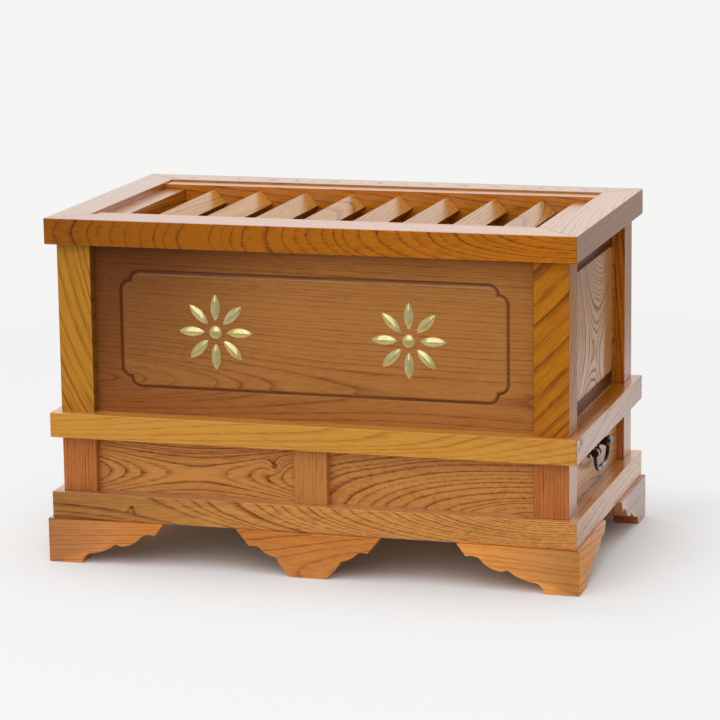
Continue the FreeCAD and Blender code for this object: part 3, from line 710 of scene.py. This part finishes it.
def carved_depth(x, z):
    """Depth of the front panel's carving: a sunk margin, a crease, and a field with a soft shoulder."""
    margin, crease = 0.4, 1.8
    wall_top, wall_foot, shoulder_foot, shoulder_top = -1.6, -0.9, 0.0, 4.2
    half_x, half_z, lobe = 220.5, 65.0, 11.0
    tall = inside(x, z - ROSETTE_HEIGHT, half_x - lobe, half_z, lobe)
    wide = inside(x, z - ROSETTE_HEIGHT, half_x, half_z - lobe, lobe)
    reach = max(tall, wide)
    if reach <= shoulder_foot:
        share = (reach - wall_top) / (wall_foot - wall_top)
        return margin + (crease - margin) * min(max(share, 0), 1)
    share = min((reach - shoulder_foot) / (shoulder_top - shoulder_foot), 1)
    return crease * (1 + math.cos(math.pi * share)) / 2


def places(runs):
    """Places along a line, from runs of (start, step), each up to the next one's start."""
    found = []
    for (start, step), (end, _) in zip(runs, runs[1:]):
        count = math.ceil((end - start) / step)
        found += [start + (end - start) * number / count for number in range(count)]
    return found + [runs[-1][0]]


def border_runs(low, high, middle, outer, inner, field_step):
    """Runs across the front panel, fine from the border's outer to its inner reach on both sides."""
    return [
        (low, MARGIN_STEP),
        (middle - outer, BORDER_STEP),
        (middle - inner, field_step),
        (middle + inner, BORDER_STEP),
        (middle + outer, MARGIN_STEP),
        (high, 0),
    ]


def close_behind(mesh, back):
    """Draw a sheet's rim back to a plane, and close it there."""
    rim = [edge for edge in mesh.edges if edge.is_boundary]
    walls = bmesh.ops.extrude_edge_only(mesh, edges=rim)["geom"]
    for item in walls:
        if isinstance(item, bmesh.types.BMVert):
            item.co.y = back
    bmesh.ops.edgeloop_fill(mesh, edges=[item for item in walls if isinstance(item, bmesh.types.BMEdge)])


def carved_panel():
    """The front panel, closely gridded along its carved border."""
    low, high = (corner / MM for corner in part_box("upper_panel_front"))
    across = places(border_runs(low.x, high.x, 0, *BORDER_X, FIELD_STEP_X))
    upward = places(border_runs(low.z, high.z, ROSETTE_HEIGHT, *BORDER_Z, FIELD_STEP_Z))
    mesh = bmesh.new()
    rows = []
    for z in upward:
        rows.append([mesh.verts.new((x, PANEL_FACE + carved_depth(x, z), z)) for x in across])
    for lower, upper in zip(rows, rows[1:]):
        for number in range(len(lower) - 1):
            face = mesh.faces.new((lower[number], lower[number + 1], upper[number + 1], upper[number]))
            face.smooth = True
    close_behind(mesh, high.y)
    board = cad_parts["upper_panel_front"].data.materials[0]
    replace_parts(new_piece("carved_front_panel", mesh, board), "upper_panel_front")


def petal_rows(mesh, turn, ends, sunk, ribs):
    """Rows of points across a petal between its ends, ridged along its middle."""
    inner, outer = ends
    bow, height, crown, full_width, stations = 22.0, 3.6, 1.25, 5, 18
    half_chord = (outer - inner) / 2
    rise = math.sqrt(bow**2 - half_chord**2)
    rows = []
    for station in range(1, stations):
        place = -half_chord + 2 * half_chord * station / stations
        half_width = math.sqrt(bow**2 - place**2) - rise
        row = []
        for rib in range(2 * ribs + 1):
            across = rib / ribs - 1
            proud = height * (1 - abs(across) ** crown) * min(1, half_width / full_width) - sunk
            spot = Vector((place + (inner + outer) / 2, -proud, across * half_width))
            row.append(mesh.verts.new(turn @ spot))
        rows.append(row)
    return rows


def petal(mesh, turn):
    """One leaf-shaped petal, flat behind."""
    ends, sunk, ribs = (12.2, 42.8), 0.3, 4
    rows = petal_rows(mesh, turn, ends, sunk, ribs)
    tips = [mesh.verts.new(turn @ Vector((end, sunk, 0))) for end in ends]
    for first, second in zip(rows, rows[1:]):
        for rib in range(2 * ribs):
            mesh.faces.new((first[rib], first[rib + 1], second[rib + 1], second[rib]))
        mesh.faces.new((first[0], second[0], second[-1], first[-1]))
    for tip, row in zip(tips, (rows[0], rows[-1])):
        for rib in range(2 * ribs):
            mesh.faces.new((tip, row[rib], row[rib + 1]))
        mesh.faces.new((tip, row[0], row[-1]))


def eye(mesh):
    """The rosette's domed eye, flat behind."""
    radius, height, sunk, rings, spokes = 7.9, 3.8, 0.3, 6, 40
    top = mesh.verts.new((0, -height, 0))
    loops = []
    for number in range(1, rings + 1):
        share = number / rings
        proud = height * math.sqrt(1 - share**2) - sunk * share
        loop = []
        for spoke in range(spokes):
            angle = 2 * math.pi * spoke / spokes
            spot = (radius * share * math.cos(angle), -proud, radius * share * math.sin(angle))
            loop.append(mesh.verts.new(spot))
        loops.append(loop)
    for spoke in range(spokes):
        after = (spoke + 1) % spokes
        mesh.faces.new((top, loops[0][after], loops[0][spoke]))
        for first, second in zip(loops, loops[1:]):
            mesh.faces.new((first[spoke], first[after], second[after], second[spoke]))
    mesh.faces.new(loops[-1])


def rosette(name, x, material):
    """A gilded rosette of ridged petals round a domed eye, proud of the panel's field."""
    mesh = bmesh.new()
    for number in range(PETALS):
        petal(mesh, Matrix.Rotation(math.radians(360 / PETALS * number), 4, "Y"))
    eye(mesh)
    # Only the eye's back has more than four corners, and it stays flat.
    for face in mesh.faces:
        face.smooth = len(face.verts) <= 4
    mesh.transform(Matrix.Translation((x, PANEL_FACE, ROSETTE_HEIGHT)))
    new_piece(name, mesh, material)


def floor_material():
    """A pale floor with a light shadow. It looks plain far away, but gloss sees it fade in front."""
    material = bpy.data.materials.new("floor")
    material.use_nodes = True
    tree = material.node_tree
    tree.nodes.clear()
    w = Weaver(tree)
    place = w.place()
    parts = w.split(place)
    rays = w.rays()
    ahead = w.math("MULTIPLY", parts["Y"], -1.0)
    past_ends = w.math("SUBTRACT", w.math("ABSOLUTE", parts["X"]), cad_box[1].x)
    past_sides = w.math("SUBTRACT", w.math("ABSOLUTE", parts["Y"]), cad_box[1].y)
    clear = w.math("MAXIMUM", past_ends, past_sides)
    far = w.step(w.measure("LENGTH", place), 0.7, 1.6)
    open_floor = w.math("MAXIMUM", far, w.step(clear, -0.06, 0.2, end=0.82))
    near = w.math("MULTIPLY", rays["Is Glossy Ray"], w.step(ahead, 0.1, 0.42))
    fade = w.math("MAXIMUM", w.step(ahead, -0.3, 1.8), near)
    lit = w.add("ShaderNodeBsdfDiffuse", {"Color": LIT_FLOOR})
    seen = w.mix(open_floor, lit, w.glow(BACKDROP))
    behind = w.mix(far, lit, w.glow(DULL_FLOOR))
    mirrored = w.mix(fade, behind, w.glow(DIM_FLOOR))
    shader = w.mix(rays["Is Camera Ray"], mirrored, seen)
    w.plug(tree.nodes.new("ShaderNodeOutputMaterial"), {"Surface": shader})
    return material


def floor():
    """A round floor that reaches past the camera."""
    mesh = bmesh.new()
    bmesh.ops.create_circle(mesh, cap_ends=True, segments=96, radius=14)
    piece = meshed("floor", mesh, floor_material())


def surroundings():
    """A pale studio: bright behind and above, dimmer in front and at the right, plain to the camera."""
    world = bpy.data.worlds.new("studio")
    bpy.context.scene.world = world
    world.use_nodes = True
    tree = world.node_tree
    tree.nodes.clear()
    w = Weaver(tree)
    rays = w.rays()
    parts = w.split(w.add("ShaderNodeTexCoord", {}, "Generated"))
    above = w.step(parts["Z"], 0.2, 0.9, start=0.5, end=0.75)
    above = w.math("MULTIPLY", above, w.step(parts["X"], 0.0, 0.8, start=1.0, end=0.4))
    behind = w.step(parts["Y"], 0.0, 0.6, start=0.15)
    soft = w.add("ShaderNodeBackground", {"Color": WHITE, "Strength": above})
    backdrop = w.add("ShaderNodeBackground", {"Color": WHITE, "Strength": behind})
    plain = w.add("ShaderNodeBackground", {"Color": BACKDROP, "Strength": 1.0})
    shader = w.mix(rays["Is Glossy Ray"], soft, backdrop)
    shader = w.mix(rays["Is Camera Ray"], shader, plain)
    w.plug(tree.nodes.new("ShaderNodeOutputWorld"), {"Surface": shader})


def lamp(name, place, size, watts):
    """A square soft lamp, turned to the middle of the box."""
    target = Vector((0, 0, 0.2))
    data = bpy.data.lights.new(name, "AREA")
    data.shape = "SQUARE"
    data.size = size
    data.energy = watts
    piece = link(name, data)
    piece.location = place
    piece.rotation_mode = "QUATERNION"
    piece.rotation_quaternion = (target - Vector(place)).to_track_quat("-Z", "Y")


def camera():
    """The photograph's camera: a long lens from the right, a little above."""
    focal_pixels, frame_pixels, sensor = 3133.25, 720, 36.0
    azimuth, elevation, roll = 0.291, 0.204, -0.0134
    place = (1.008903, -3.336154, 0.929678)
    data = bpy.data.cameras.new("camera")
    data.sensor_width = sensor
    data.lens = focal_pixels * sensor / frame_pixels
    data.clip_end = 100
    piece = link("camera", data)
    bpy.context.scene.camera = piece
    level_reach = math.cos(elevation)
    ahead = (-math.sin(azimuth) * level_reach, math.cos(azimuth) * level_reach, -math.sin(elevation))
    forward = Vector(ahead)
    level = Vector((math.cos(azimuth), math.sin(azimuth), 0))
    upright = level.cross(forward)
    right = level * math.cos(roll) + upright * math.sin(roll)
    up = upright * math.cos(roll) - level * math.sin(roll)
    turned = Matrix((right, up, -forward)).transposed().to_4x4()
    piece.matrix_world = Matrix.Translation(place) @ turned


dress_boards()
carved_panel()
leaf = gold_leaf()
rosette("gilded_rosette_left", -ROSETTE_OFFSET, leaf)
rosette("gilded_rosette_right", ROSETTE_OFFSET, leaf)
floor()
surroundings()
lamp("key", (0.0, -2.2, 1.9), size=3.0, watts=30)
lamp("top", (-0.1, 0.1, 2.6), size=2.6, watts=21)
camera()
bpy.context.scene.view_settings.view_transform = "Standard"
